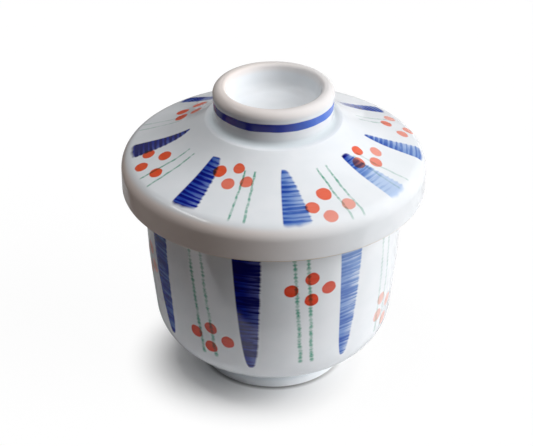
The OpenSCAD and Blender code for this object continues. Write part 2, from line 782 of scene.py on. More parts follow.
    def _strokes(self, colour: bpy.types.NodeSocket) -> tuple[bpy.types.NodeSocket, Wire]:
        """Lays the blue strokes over a colour.

        Args:
            colour: What is under them.

        Returns:
            The colour with strokes, and their mask.
        """
        canvas = self.canvas
        ink = self.ink
        rag = self.hairs - 0.5
        masks: Wire | None = None
        tones: Wire | None = None
        for stroke in self.painting.strokes:
            mask, tone = self._stroke(stroke, rag)
            masks = mask if masks is None else masks.at_least(mask)
            tones = tone if tones is None else tones + tone
        masks = masks * self.outside
        tone = tones / masks.at_least(ink.least_mask)
        tone = tone + rag * (tone * ink.hair_tone + ink.least_hair_tone)
        tone = tone + (self.cloud - 0.5) * ink.cloud_tone
        blues = (ink.palest, ink.pale, ink.middle, ink.dark, ink.deep)
        stops = [(i / (len(blues) - 1), blue) for i, blue in enumerate(blues)]
        blue = canvas.node("ShaderNodeValToRGB", {"stops": stops}, {0: tone}).outputs[0]
        return canvas.mix(masks, colour, blue), masks

    def _stroke(self, stroke: Stroke, rag: Wire) -> tuple[Wire, Wire]:
        """Works out one stroke across (u) and along (v) its own line.

        Args:
            stroke: The stroke.
            rag: How far the hairs reach past its edge.

        Returns:
            Its mask, and its ink where the mask is.
        """
        canvas = self.canvas
        hand = self.painting.hand
        tip, end = self.place(stroke.tip), self.place(stroke.end)
        along = end - tip
        outward = Vector((tip.x + end.x, tip.y + end.y, 0)).normalized()
        facing = Vector((0, 0, 1)) if self.painting.reach is Reach.RADIUS else -outward
        across = facing.cross(along).normalized()
        up = along / along.length_squared
        u = canvas.dot(self.point, across) - tip.dot(across)
        v = canvas.dot(self.point, up) - tip.dot(up)
        grown = v.at_least(0.0)
        left = (grown**hand.left_power * (1 - stroke.blunt) + stroke.blunt) * -stroke.left
        right = (grown**hand.right_power * (1 - stroke.blunt) + stroke.blunt) * stroke.right
        right = right * (rag * hand.edge_rag + 1)
        inside = (u - left).step(*hand.left_edge) * (right - u).step(*hand.right_edge)
        fade = (u - left) / (right - left).at_least(hand.least_width)
        bow = (fade - 0.5) * (fade - 0.5)
        frayed = (u * hand.fray_turns + self.cloud * hand.fray_drift).sine() * hand.fray
        ends = v.step(*hand.tip_edge) * (v + frayed + bow * bow * hand.end_bow).step(*hand.end_edge)
        near = canvas.dot(self.point, outward).step(*hand.own_side)
        worn = (1 - self.hairs) * fade.step(*hand.dry_side) * stroke.dry
        mask = inside * ends * near * (1 - worn)
        spent = grown if stroke.drain == 1 else grown**stroke.drain
        ink = spent * (stroke.end_ink - stroke.tip_ink) + stroke.tip_ink
        return mask, mask * (ink - (fade - 0.5) * self.ink.side_fade)

    def _stalks(self, colour: bpy.types.NodeSocket) -> bpy.types.NodeSocket:
        """Draws the green lines over a colour, beaded where the brush skipped.

        Args:
            colour: What is under them.

        Returns:
            The colour with stalks.
        """
        canvas = self.canvas
        hand = self.painting.hand
        enamel = self.enamel
        total: Wire | None = None
        for stalk in self.painting.stalks:
            start, end = self.place(stalk.start), self.place(stalk.end)
            along = end - start
            outward = Vector((start.x + end.x, start.y + end.y, 0)).normalized()
            across = along.cross(outward).normalized()
            up = along.normalized()
            u = abs(canvas.dot(self.shaken, across) - start.dot(across))
            v = canvas.dot(self.shaken, up) - start.dot(up)
            bead = (v * (2 * math.pi / hand.bead_pitch) + self.streak * hand.bead_jitter).wave()
            skips = (v * (-hand.bead_ease / along.length) + 1) * hand.bead_depth
            half = (1 - (1 - bead) * skips) * hand.stalk_half
            line = (half - u).step(-hand.stalk_soft, hand.stalk_soft)
            ends = v.step(*hand.stalk_end) * (along.length - v).step(*hand.stalk_end)
            near = canvas.dot(self.point, outward).step(*hand.own_side)
            load = (v * (-stalk.fade / along.length) + 1) * stalk.strength
            mask = line * ends * near * load
            total = mask if total is None else total.at_least(mask)
        wear = self.streak.step(*enamel.green_wear) * enamel.green_streaks + enamel.least_green
        return canvas.mix(total * self.outside * wear, colour, enamel.green, "MULTIPLY")

    def _berries(self, colour: bpy.types.NodeSocket) -> tuple[bpy.types.NodeSocket, Wire]:
        """Dabs the red berries over a colour.

        Args:
            colour: What is under them.

        Returns:
            The colour with berries, and their mask.
        """
        canvas = self.canvas
        enamel = self.enamel
        total: Wire | None = None
        paler: Wire | None = None
        rim: Wire | None = None
        for berry in self.painting.berries:
            gap = canvas.distance(self.shaken, self.place(berry.place)) / berry.radius
            dab = gap.step(*enamel.dab_edge)
            edge = gap.step(*enamel.rim_edge)
            total = dab if total is None else total.at_least(dab)
            rim = edge if rim is None else rim.at_most(edge)
            if berry.pale:
                pale = dab * berry.pale
                paler = pale if paler is None else paler.at_least(pale)
        thinned = self.streak.step(*enamel.red_streaks) * enamel.unevenness
        tint = canvas.mix(thinned, enamel.red, enamel.pale_red)
        dark_red = tuple(enamel.rim_tone * level for level in enamel.red)
        tint = canvas.mix(rim * enamel.rim_share, tint, dark_red)
        cover = total * enamel.cover
        if paler is not None:
            tint = canvas.mix(paler, tint, enamel.pale_red)
            cover = total * (1 - paler * enamel.thinner_when_pale)
        return canvas.mix(cover, colour, tint, "MULTIPLY"), total

    def _shade(self, colour: bpy.types.NodeSocket, bare: Wire, ink: Wire, red: Wire) -> None:
        """Joins the colour, the gloss and the ripple of the glaze in one shader.

        Args:
            colour: The painted colour.
            bare: The mask of bare clay.
            ink: The mask of the blue strokes.
            red: The mask of the berries.
        """
        canvas = self.canvas
        glaze = self.glaze
        relief = canvas.grain(self.point, RIPPLE) * glaze.ripple + red * self.enamel.relief
        relief = relief + ink * self.ink.relief + canvas.grain(self.point, CLAY) * bare * glaze.bare_relief
        bump = canvas.node("ShaderNodeBump", None, {"Strength": 1.0, "Distance": MM, "Height": relief})
        gloss = (self.cloud - 0.5) * glaze.uneven_gloss + glaze.roughness + red * self.enamel.roughness
        inputs = {
            "Base Color": colour,
            "Roughness": gloss * (1 - bare) + bare * glaze.bare_roughness,
            "Specular IOR Level": glaze.specular,
            "Normal": bump.outputs[0],
        }
        shader = canvas.node("ShaderNodeBsdfPrincipled", None, inputs)
        canvas.node("ShaderNodeOutputMaterial", None, {"Surface": shader.outputs[0]})


class Wheel(Nodes):
    """The potter's wheel: a Geometry Nodes tree that turns a section about the upright axis."""

    wander_scale = 0.9
    weld_m = 1e-6

    def __init__(self) -> None:
        """Makes the tree with its sockets."""
        super().__init__(bpy.data.node_groups.new("turned_on_the_wheel", "GeometryNodeTree"))
        face = self.tree.interface
        face.new_socket("Section", in_out="INPUT", socket_type="NodeSocketGeometry")
        self.sockets = {}
        for name, kind in (
            ("Steps", "NodeSocketInt"),
            ("Shake", "NodeSocketFloat"),
            ("Seed", "NodeSocketFloat"),
            ("Glaze", "NodeSocketMaterial"),
        ):
            self.sockets[name] = face.new_socket(name, in_out="INPUT", socket_type=kind).identifier
        face.new_socket("Piece", in_out="OUTPUT", socket_type="NodeSocketGeometry")
        self._build()

    def _math(self, operation: str, *values: Any) -> bpy.types.NodeSocket:
        """Adds one Math node."""
        return self.node("ShaderNodeMath", {"operation": operation}, dict(enumerate(values))).outputs[0]

    def _build(self) -> None:
        """Builds the tree: a grid whose columns sample the section and whose rows go round the axis."""
        given = self.node("NodeGroupInput").outputs
        size = self.node("GeometryNodeAttributeDomainSize", None, {0: given["Section"]})
        count = size.outputs["Point Count"]
        rows = self._math("ADD", given["Steps"], 1.0)
        grid_inputs = {"Size X": 1.0, "Size Y": 1.0, "Vertices X": count, "Vertices Y": rows}
        grid = self.node("GeometryNodeMeshGrid", None, grid_inputs).outputs[0]
        position = self.node("GeometryNodeInputPosition").outputs[0]
        place = self.node("ShaderNodeSeparateXYZ", None, {0: position}).outputs
        share, last = self._math("ADD", place[0], 0.5), self._math("SUBTRACT", count, 1.0)
        index = self._math("ROUND", self._math("MULTIPLY", share, last))
        turn = self._math("MULTIPLY", place[1], 2 * math.pi)
        sample = self.node(
            "GeometryNodeSampleIndex",
            {"data_type": "FLOAT_VECTOR", "domain": "POINT"},
            {0: given["Section"], "Index": index},
        )
        self.tree.links.new(position, sample.inputs["Value"])
        profile = self.node("ShaderNodeSeparateXYZ", None, {0: sample.outputs[0]}).outputs
        side, front = self._math("SINE", turn), self._math("COSINE", turn)
        about = self.node("ShaderNodeCombineXYZ", None, {0: side, 1: front, 2: profile[2]}).outputs[0]
        wander = self.node(
            "ShaderNodeTexNoise",
            {"noise_dimensions": "4D"},
            {"Vector": about, "W": given["Seed"], "Scale": self.wander_scale, "Detail": 1.0},
        ).outputs[0]
        drop = self._math("MULTIPLY", self._math("MULTIPLY", wander, given["Shake"]), profile[0])
        radius = self._math("SUBTRACT", profile[0], drop)
        spot = {
            0: self._math("MULTIPLY", radius, side),
            1: self._math("MULTIPLY", self._math("MULTIPLY", radius, front), -1.0),
            2: profile[2],
        }
        target = self.node("ShaderNodeCombineXYZ", None, spot).outputs[0]
        move = {"Geometry": grid, "Position": target}
        moved = self.node("GeometryNodeSetPosition", None, move).outputs[0]
        weld = {"Geometry": moved, "Distance": self.weld_m}
        closed = self.node("GeometryNodeMergeByDistance", None, weld).outputs[0]
        smooth = self.node("GeometryNodeSetShadeSmooth", None, {"Geometry": closed}).outputs[0]
        real = self.node("GeometryNodeRealizeInstances", None, {"Geometry": smooth}).outputs[0]
        glazed = self.node("GeometryNodeSetMaterial", None, {"Geometry": real, "Material": given["Glaze"]})
        self.node("NodeGroupOutput", None, {0: glazed.outputs[0]})

    def turn(
        self,
        name: str,
        section: Section,
        material: bpy.types.Material,
        steps: int,
        shake: float,
        seed: float,
    ) -> bpy.types.Object:
        """Turns one piece.

        Args:
            name: The new object's name.
            section: Half of the piece's section.
            material: Its finish.
            steps: Steps in one turn.
            shake: Largest dip of the radius, as a share of it.
            seed: Which of the many possible shakes is used.

        Returns:
            The piece as a plain mesh object at the origin.
        """
        points = section.points()
        line = bpy.data.meshes.new(name + "_section")
        verts = [(p.x * MM, 0.0, p.y * MM) for p in points]
        line.from_pydata(verts, [(i, i + 1) for i in range(len(verts) - 1)], [])
        carrier = bpy.data.objects.new(name + "_section", line)
        bpy.context.scene.collection.objects.link(carrier)
        modifier = carrier.modifiers.new("wheel", "NODES")
        modifier.node_group = self.tree
        values = {"Steps": steps, "Shake": shake, "Seed": seed, "Glaze": material}
        for key, value in values.items():
            modifier[self.sockets[key]] = value
        evaluated = carrier.evaluated_get(bpy.context.evaluated_depsgraph_get())
        mesh = bpy.data.meshes.new_from_object(evaluated)
        bpy.data.objects.remove(carrier)
        bpy.data.meshes.remove(line)
        self._face_outwards(mesh)
        mesh.name = name
        piece = bpy.data.objects.new(name, mesh)
        bpy.context.scene.collection.objects.link(piece)
        return piece

    @staticmethod
    def _face_outwards(mesh: bpy.types.Mesh) -> None:
        """Turns a closed mesh's faces outwards.

        Args:
            mesh: The mesh, which is changed in place.
        """
        work = bmesh.new()
        work.from_mesh(mesh)
        if work.calc_volume(signed=True) < 0:
            bmesh.ops.reverse_faces(work, faces=work.faces)
        work.to_mesh(mesh)
        work.free()


LID_HAND = BrushHand(
    left_power=0.85,
    right_power=0.4,
    hair_pitch=1.4,
    hair_jitter=1.2,
    hair_share=0.55,
    stalk_half=0.34,
    stalk_soft=0.16,
    bead_pitch=1.9,
    bead_depth=0.35,
    bead_jitter=3.0,
)
CUP_HAND = BrushHand(
    left_power=0.42,
    right_power=0.32,
    hair_pitch=1.3,
    hair_jitter=2.0,
    hair_share=0.34,
    stalk_half=0.56,
    stalk_soft=0.36,
    bead_pitch=1.35,
    bead_depth=0.75,
    bead_jitter=9.0,
)


@dataclass
class Cup:
    """The cup: foot ring, belly, upright wall and plain lip."""

    cup_h: float = 64.5
    mouth_d: float = 73.9
    side_d: float = 72.8
    side_z: float = 38.0
    side_swell: float = 220.0
    belly_d: float = 67.7
    belly_z: float = 13.3
    belly_round: float = 14.0
    wall_t: float = 3.2
    lip_round: float = 1.1
    floor_t: float = 4.2
    floor_round: float = 18.0
    foot_d: float = 41.6
    foot_h: float = 3.8
    foot_flare: float = 0.8
    foot_land: float = 3.2
    foot_hollow: float = 2.6
    foot_draft: float = 0.8
    foot_edge: float = 0.5
    waist_round: float = 1.6
    bare_land: float = 0.16

    @staticmethod
    def _inset(a: Vector, b: Vector, c: Vector, t: float) -> Vector:
        """Moves the corner b of the path a, b, c to the left, to the inner side of the wall.

        Args:
            a: The corner before it.
            b: The corner.
            c: The corner after it.
            t: The wall's thickness.

        Returns:
            The inner corner.
        """
        first, second = (b - a).normalized(), (c - b).normalized()
        m, n = Vector((-first.y, first.x)), Vector((-second.y, second.x))
        return b + (m + n) * t / (1 + m.dot(n))

    def section(self) -> Section:
        """Lays out the cup's section.

        Returns:
            The section, from the centre of the underside to the centre of the floor.
        """
        foot_r = self.foot_d / 2
        floor_z = self.foot_hollow + self.floor_t
        waist = Vector((foot_r + self.foot_flare / 2, self.foot_h))
        belly = Vector((self.belly_d / 2, self.belly_z))
        side = Vector((self.side_d / 2, self.side_z))
        lip = Vector((self.mouth_d / 2, self.cup_h))
        inner_belly = self._inset(waist, belly, side, self.wall_t)
        inner_side = self._inset(belly, side, lip, self.wall_t)
        inner_waist = self._inset(Vector((foot_r, 0)), waist, belly, self.wall_t)
        share = (floor_z - inner_waist.y) / (inner_belly.y - inner_waist.y)
        floor_edge = inner_waist.lerp(inner_belly, share)
        land_r = foot_r - self.foot_land
        return Section(
            (
                Corner(0, self.foot_hollow),
                Corner(land_r - self.foot_draft, self.foot_hollow, self.foot_edge),
                Corner(land_r, 0, self.foot_edge),
                Corner(foot_r, 0, self.foot_edge),
                Corner(*waist, self.waist_round),
                Corner(*belly, self.belly_round),
                Corner(*side, self.side_swell),
                Corner(*lip, self.lip_round),
                Corner(lip.x - self.wall_t, lip.y, self.lip_round),
                Corner(*inner_side, self.side_swell - self.wall_t),
                Corner(*inner_belly, self.belly_round - self.wall_t),
                Corner(*floor_edge, self.floor_round),
                Corner(0, floor_z),
            )
        )

    @staticmethod
    def painting() -> Painting:
        """Lays out the cup's painting.

        Returns:
            Strokes that hang from the rim, beaded stalks and clusters of berries.
        """
        top = 62.5
        first_low, second_low = 18.0, 17.8
        berry_r = 2.05
        # Tip, broad end, half width to each side, ink at both ends, dryness, bluntness, drain
        strokes = (
            Stroke(Mark(-10.7, 16.2), Mark(-11.6, top), 4.5, 4.3, 0.86, 1.05, 0.1),
            Stroke(Mark(34.4, 17.2), Mark(35.8, top), 3.8, 4.0, 0.42, 0.16, 0.4, 0.0, 0.6),
            Stroke(Mark(-56.6, 18.2), Mark(-61.8, top), 4.5, 4.6, 0.62, 0.6, 0.0),
            Stroke(Mark(91.5, 17.5), Mark(90.5, top), 3.9, 4.0, 0.4, 0.45, 0.3),
            Stroke(Mark(-100.0, 18.0), Mark(-101.5, top), 4.2, 4.0, 0.5, 0.7, 0.2),
            Stroke(Mark(128.5, 18.2), Mark(129.0, top), 4.2, 4.2, 0.5, 0.85, 0.2),
            Stroke(Mark(-147.0, 17.4), Mark(-146.0, top), 3.8, 4.1, 0.35, 0.4, 0.3),
            Stroke(Mark(173.5, 17.8), Mark(174.0, top), 4.3, 4.0, 0.5, 0.75, 0.2),
        )
        # Azimuths of both stalks of a pair at the top and at the foot, and their strength
        pairs = (
            (-39.9, -34.2, -34.0, -27.7, 1.0),
            (8.1, 13.0, 14.3, 18.4, 1.0),
            (56.0, 58.0, 61.0, 63.5, 0.4),
            (-84.0, -80.0, -77.5, -74.0, 0.9),
            (106.5, 108.0, 112.0, 113.5, 1.0),
            (-128.0, -125.0, -122.0, -118.5, 1.0),
            (148.5, 150.0, 154.5, 156.5, 0.8),
            (-172.0, -170.0, -166.0, -163.5, 1.0),
        )
        stalks = []
        for first_top, first_foot, second_top, second_foot, strength in pairs:
            stalks.append(Stalk(Mark(first_top, top), Mark(first_foot, first_low), strength))
            stalks.append(Stalk(Mark(second_top, top), Mark(second_foot, second_low), strength))
        # Azimuth, height and paleness of each berry
        clusters = (
            ((-37.8, 25.0, 0.0), (-29.4, 28.1, 0.0), (-21.2, 24.6, 0.0), (-30.1, 21.4, 0.0)),
            ((7.8, 44.0, 0.0), (16.9, 47.3, 0.05), (24.7, 43.4, 0.12), (16.7, 40.3, 0.0)),
            # This cluster on the lit right side is painted fully pale: painted light
            ((69.0, 26.0, 1.0), (60.0, 29.5, 1.0), (58.5, 24.1, 1.0), (66.0, 20.4, 1.0)),
            ((-80.5, 38.8, 0.7), (-72.0, 42.5, 0.7), (-68.5, 37.6, 0.8), (-76.0, 34.6, 0.6)),
            ((102.5, 44.5, 0.1), (111.0, 47.2, 0.0), (117.5, 43.0, 0.3), (109.0, 40.0, 0.1)),
            ((-131.0, 25.5, 0.0), (-122.5, 28.4, 0.1), (-115.5, 24.6, 0.0), (-124.0, 21.5, 0.2)),
            ((146.0, 25.8, 0.2), (154.0, 28.6, 0.0), (161.5, 25.0, 0.3), (153.5, 21.8, 0.1)),
            ((-175.0, 44.0, 0.0), (-167.0, 47.5, 0.1), (-159.5, 43.2, 0.3), (-168.0, 40.2, 0.0)),
        )
        berries = tuple(
            Berry(Mark(azimuth, height), berry_r, pale)
            for cluster in clusters
            for azimuth, height, pale in cluster
        )
        parting = Parting(level=34.6, knee=34.0, slope=-0.17)
        return Painting(Reach.HEIGHT, parting, CUP_HAND, strokes, tuple(stalks), berries)

    def build(self, wheel: Wheel) -> bpy.types.Object:
        """Turns and dresses the cup.

        Args:
            wheel: The tree that turns a section.

        Returns:
            The cup, riding on its body in place of its CAD node.
        """
        section = self.section()
        lip_r, waist_r = self.mouth_d / 2, (self.foot_d + self.foot_flare) / 2
        lip = Ring.around(lip_r, self.cup_h, inward=self.wall_t + 0.75, outward=0.55, down=0.7, up=1.0)
        # Painted shade with pooled glaze in the crease at the foot's waist
        waist = Ring.around(waist_r, self.foot_h, inward=1.7, outward=2.3, down=1.2, up=1.4)
        finish = Porcelain(
            name="cup_painted_porcelain",
            painting=self.painting(),
            section=section,
            bare_height=self.bare_land,
            enamel=EnamelFinish(red=(0.88, 0.05, 0.003), pale_red=(1.0, 0.52, 0.42), unevenness=0.08),
            thin_glaze_and_shade_rings=(ThinGlazeAndWarmShade(lip, left=0.3, right=0.3),),
            pooled_and_shaded_ring=waist,
        )
        cup = wheel.turn("cup_painted", section, finish.build(), steps=224, shake=0.0012, seed=2.0)
        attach(cup, Piece.CUP.value)
        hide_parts(Piece.CUP.value)
        return cup


@dataclass
class Lid:
    """The lid: domed ceiling, flat seat, skirt, concave roof and a ring knob with a round well."""

    cup: Cup
    lid_play: float = 1.5
    skirt_t: float = 4.6
    skirt_drop: float = 6.8
    skirt_edge: float = 0.6
    crest_rise: float = 2.8
    crest_round: float = 4.9
    roof_bend_d: float = 53.4
    roof_bend_rise: float = 5.6
    roof_round: float = 46.0
    roof_top_rise: float = 5.3
    lid_t: float = 5.6
    dome_d: float = 32.0
    dome_round: float = 28.0
    seat_round: float = 0.7
    shoulder_d: float = 38.6
    shoulder_round: float = 0.7
    neck_d: float = 33.2
    neck_round: float = 1.4
    knob_d: float = 34.2
    knob_h: float = 9.9
    knob_wall: float = 3.6
    knob_round: float = 2.2
    well_edge: float = 1.0
    well_depth: float = 7.0
    well_draft: float = 1.4
    well_round: float = 3.0
    bare_land: float = 0.42
    line_rise: float = 4.1
    line_width: float = 2.45

    def __post_init__(self) -> None:
        """Places the lid on the cup's rim."""
        self.mouth_r = self.cup.mouth_d / 2
        self.seat_z = self.cup.cup_h
        self.skirt_r = self.mouth_r + self.lid_play
        self.lid_r = self.skirt_r + self.skirt_t
        self.land_z = self.seat_z - self.skirt_drop
        self.crest_z = self.seat_z + self.crest_rise
        self.bend_z = self.crest_z + self.roof_bend_rise
        self.shoulder_z = self.bend_z + self.roof_top_rise
        self.knob_z = self.shoulder_z + self.knob_h
        self.knob_r = self.knob_d / 2
        self.well_r = self.knob_r - self.knob_wall

    def section(self) -> Section:
        """Lays out the lid's section.

        Returns:
            The section, from the centre of the ceiling to the centre of the well.
        """
        well_z = self.knob_z - self.well_depth
        ceiling_z = well_z - self.lid_t
        return Section(
            (
                Corner(0, ceiling_z),
                Corner(self.dome_d / 2, ceiling_z, self.dome_round),
                Corner(self.mouth_r - self.cup.wall_t, self.seat_z, self.seat_round),
                Corner(self.skirt_r, self.seat_z, self.seat_round),
                Corner(self.skirt_r, self.land_z, self.skirt_edge),
                Corner(self.lid_r, self.land_z, self.skirt_edge),
                Corner(self.lid_r, self.crest_z, self.crest_round),
                Corner(self.roof_bend_d / 2, self.bend_z, self.roof_round),
                Corner(self.shoulder_d / 2, self.shoulder_z, self.shoulder_round),
                Corner(self.neck_d / 2, self.shoulder_z, self.neck_round),
                Corner(self.knob_r, self.knob_z, self.knob_round),
                Corner(self.well_r, self.knob_z, self.well_edge),
                Corner(self.well_r - self.well_draft, well_z, self.well_round),
                Corner(0, well_z),
            )
        )

    @staticmethod
    def painting() -> Painting:
        """Lays out the lid's painting.

        Returns:
            Strokes, pairs of stalks and clusters of berries round the knob.
        """
        # Tip, broad end, half width to each side, ink at both ends, dryness, bluntness, drain
        strokes = (
            Stroke(Mark(5.5, 24.0), Mark(9.0, 41.3), 4.0, 4.3, 0.42, 0.34, 0.2, 0.05),
            Stroke(Mark(-41.5, 23.4), Mark(-36.8, 40.3), 4.2, 3.9, 0.62, 0.72, 0.12, 0.24),
            Stroke(Mark(50.5, 24.3), Mark(54.5, 41.5), 3.1, 4.3, 1.5, -0.12, 0.15, 0.22, 0.26),
            Stroke(Mark(-86.5, 23.3), Mark(-86.2, 40.1), 4.2, 3.6, 0.82, 0.98, 0.06),
            Stroke(Mark(83.5, 25.4), Mark(87.5, 41.9), 3.4, 3.7, 0.4, 0.22, 0.2),
            Stroke(Mark(131.5, 25.6), Mark(126.0, 39.3), 2.5, 2.7, 0.62, 0.5, 0.15, 0.6),
            Stroke(Mark(-149.0, 24.6), Mark(-138.0, 39.8), 2.6, 2.8, 0.6, 0.6, 0.1, 0.55),
            Stroke(Mark(173.5, 24.0), Mark(176.5, 41.0), 3.6, 3.9, 0.5, 0.6, 0.2),
        )
        # Azimuths of both stalks of a pair at the inner and the outer end, both radii, strength and fade
        pairs = (
            (-18.0, -17.0, -11.5, -11.0, 24.6, 40.8, 1.0, 0.1),
            (27.8, 30.4, 34.3, 35.5, 24.7, 42.0, 1.15, 0.6),
            (-64.7, -64.7, -58.2, -58.2, 25.2, 40.6, 0.95, 0.1),
            (57.0, 57.5, 61.0, 65.0, 25.8, 40.8, 0.5, 0.3),
            (104.5, 110.0, 109.5, 114.5, 24.7, 36.0, 0.45, 0.0),
            (-113.0, -110.0, -107.0, -105.0, 27.0, 40.3, 0.4, 0.0),
            (157.0, 156.0, 162.0, 161.0, 25.0, 41.0, 0.9, 0.1),
            (-171.5, -171.0, -165.5, -164.5, 25.0, 41.0, 0.9, 0.1),
        )
        stalks = []
        for first_in, first_out, second_in, second_out, r_in, r_out, strength, fade in pairs:
            stalks.append(Stalk(Mark(first_in, r_in), Mark(first_out, r_out), strength, fade))
            stalks.append(Stalk(Mark(second_in, r_in), Mark(second_out, r_out), strength, fade))
        # Place, radius and paleness
        berries = (
            Berry(Mark(-33.0, 26.6)),
            Berry(Mark(-22.0, 24.5), 1.6, 0.06),
            Berry(Mark(-24.5, 29.3), 1.95, 0.2),
            Berry(Mark(-15.0, 27.9), 1.85, 0.22),
            Berry(Mark(24.5, 32.5), 2.15, 0.13),
            Berry(Mark(16.5, 36.2), 2.0, 0.18),
            Berry(Mark(22.5, 39.8), 2.05, 0.5),
            Berry(Mark(32.0, 37.5), 1.95, 0.7),
            Berry(Mark(-79.5, 35.3)),
            Berry(Mark(-72.0, 31.5)),
            Berry(Mark(-72.0, 38.3)),
            Berry(Mark(-63.0, 36.1)),
            Berry(Mark(63.5, 25.7), 1.8, 0.12),
            Berry(Mark(73.0, 29.5), 1.85, 0.55),
            Berry(Mark(55.5, 28.2), 1.9, 0.3),
            Berry(Mark(64.5, 31.0), 1.9, 0.4),
            Berry(Mark(109.5, 34.3), 1.75, 0.3),
            Berry(Mark(101.0, 37.4), 1.8, 0.5),
            Berry(Mark(116.0, 37.4), 1.75, 0.7),
            Berry(Mark(106.0, 40.3), 1.75, 0.6),
            Berry(Mark(-131.0, 28.3), 2.3, 0.15),
            Berry(Mark(-116.5, 24.8), 1.85, 0.25),
            Berry(Mark(-121.0, 30.6), 2.0),
            Berry(Mark(-112.0, 28.5), 1.95),
            Berry(Mark(158.0, 33.6)),
            Berry(Mark(166.0, 31.5)),
            Berry(Mark(160.5, 38.3)),
            Berry(Mark(166.5, 37.3)),
            Berry(Mark(-172.5, 33.5)),
            Berry(Mark(-164.5, 30.8)),
            Berry(Mark(-167.5, 38.2)),
            Berry(Mark(-160.0, 35.2)),
        )
        parting = Parting(level=66.0, knee=36.0, slope=0.57)
        return Painting(Reach.RADIUS, parting, LID_HAND, strokes, tuple(stalks), berries)

    def build(self, wheel: Wheel) -> bpy.types.Object:
        """Turns and dresses the lid.

        Args:
            wheel: The tree that turns a section.

        Returns:
            The lid, riding on its body in place of its CAD node.
        """
        section = self.section()
        neck_r = self.neck_d / 2
        line_z = self.shoulder_z + self.line_rise
        rim = Ring.around(
            self.knob_r, self.knob_z, inward=self.knob_wall + 0.5, outward=0.9, down=1.9, up=0.9
        )
        skirt = Ring.around(
            self.lid_r, self.land_z, inward=2.05, outward=0.95, down=0.7, up=self.skirt_drop + 2.5
        )
        # Painted shade with pooled glaze in the crease at the knob's foot
        neck = Ring.around(neck_r, self.shoulder_z, inward=0.6, outward=1.6, down=0.7, up=1.4)
        finish = Porcelain(
            name="lid_painted_porcelain",
            painting=self.painting(),
            section=section,
            bare_height=self.land_z + self.bare_land,
            # Painted brown shade on the left of the knob rim and most of all the skirt; the rim's right
            # share is thin glaze
            thin_glaze_and_shade_rings=(ThinGlazeAndWarmShade(rim, left=0.72, right=0.3), ThinGlazeAndWarmShade(skirt, left=0.85, right=0.02)),
            pooled_and_shaded_ring=neck,
            knob_line=PaintedLine(line_z, line_z + self.line_width, inner_r=neck_r - 1.6),
        )
        lid = wheel.turn("lid_painted", section, finish.build(), steps=240, shake=0.0012, seed=7.0)
        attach(lid, Piece.LID.value)
        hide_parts(Piece.LID.value)
        return lid


@dataclass(frozen=True)
class Lamp:
    """A lamp: where it stands as seen from the cup, and how strong it is."""

    name: str
    azimuth: float
    elevation: float
    strength: float

    def aimed(self, data: bpy.types.Light, distance_m: float) -> bpy.types.Object:
        """Adds lamp data to the scene, aimed at the cup.

        Args:
            data: The lamp's data.
            distance_m: How far it stands from the middle of the cup.

        Returns:
            The lamp.
        """
        data.energy = self.strength
        lamp = bpy.data.objects.new(self.name, data)
        tilt = math.radians(90 - self.elevation)
        lamp.rotation_euler = Euler((tilt, 0.0, math.radians(self.azimuth)))
        away = lamp.rotation_euler.to_matrix() @ Vector((0, 0, distance_m))
        lamp.location = away + Vector((0, 0, LAMP_AIM_M))
        bpy.context.scene.collection.objects.link(lamp)
        return lamp


@dataclass(frozen=True)
class SkyLamp(Lamp):
    """A broad and far lamp that lights without a mirror image of itself in the glaze."""

    width: float = 60.0
    distance_m: float = 1.0

    def build(self) -> bpy.types.Object:
        """Adds the lamp.

        Returns:
            The lamp.
        """
        data = bpy.data.lights.new(self.name, "SUN")
        data.angle = math.radians(self.width)
        lamp = self.aimed(data, self.distance_m)
        lamp.visible_glossy = False
        return lamp


@dataclass(frozen=True)
class WindowLamp(Lamp):
    """A near, upright lamp that only shows in the glaze, as a window does."""

    wide_m: float = 0.1
    high_m: float = 0.1
    distance_m: float = 0.8

    def build(self) -> bpy.types.Object:
        """Adds the lamp.

        Returns:
            The lamp.
        """
        data = bpy.data.lights.new(self.name, "AREA")
        data.shape = "RECTANGLE"
        data.size = self.wide_m
        data.size_y = self.high_m
        lamp = self.aimed(data, self.distance_m)
        lamp.visible_diffuse = False
        return lamp


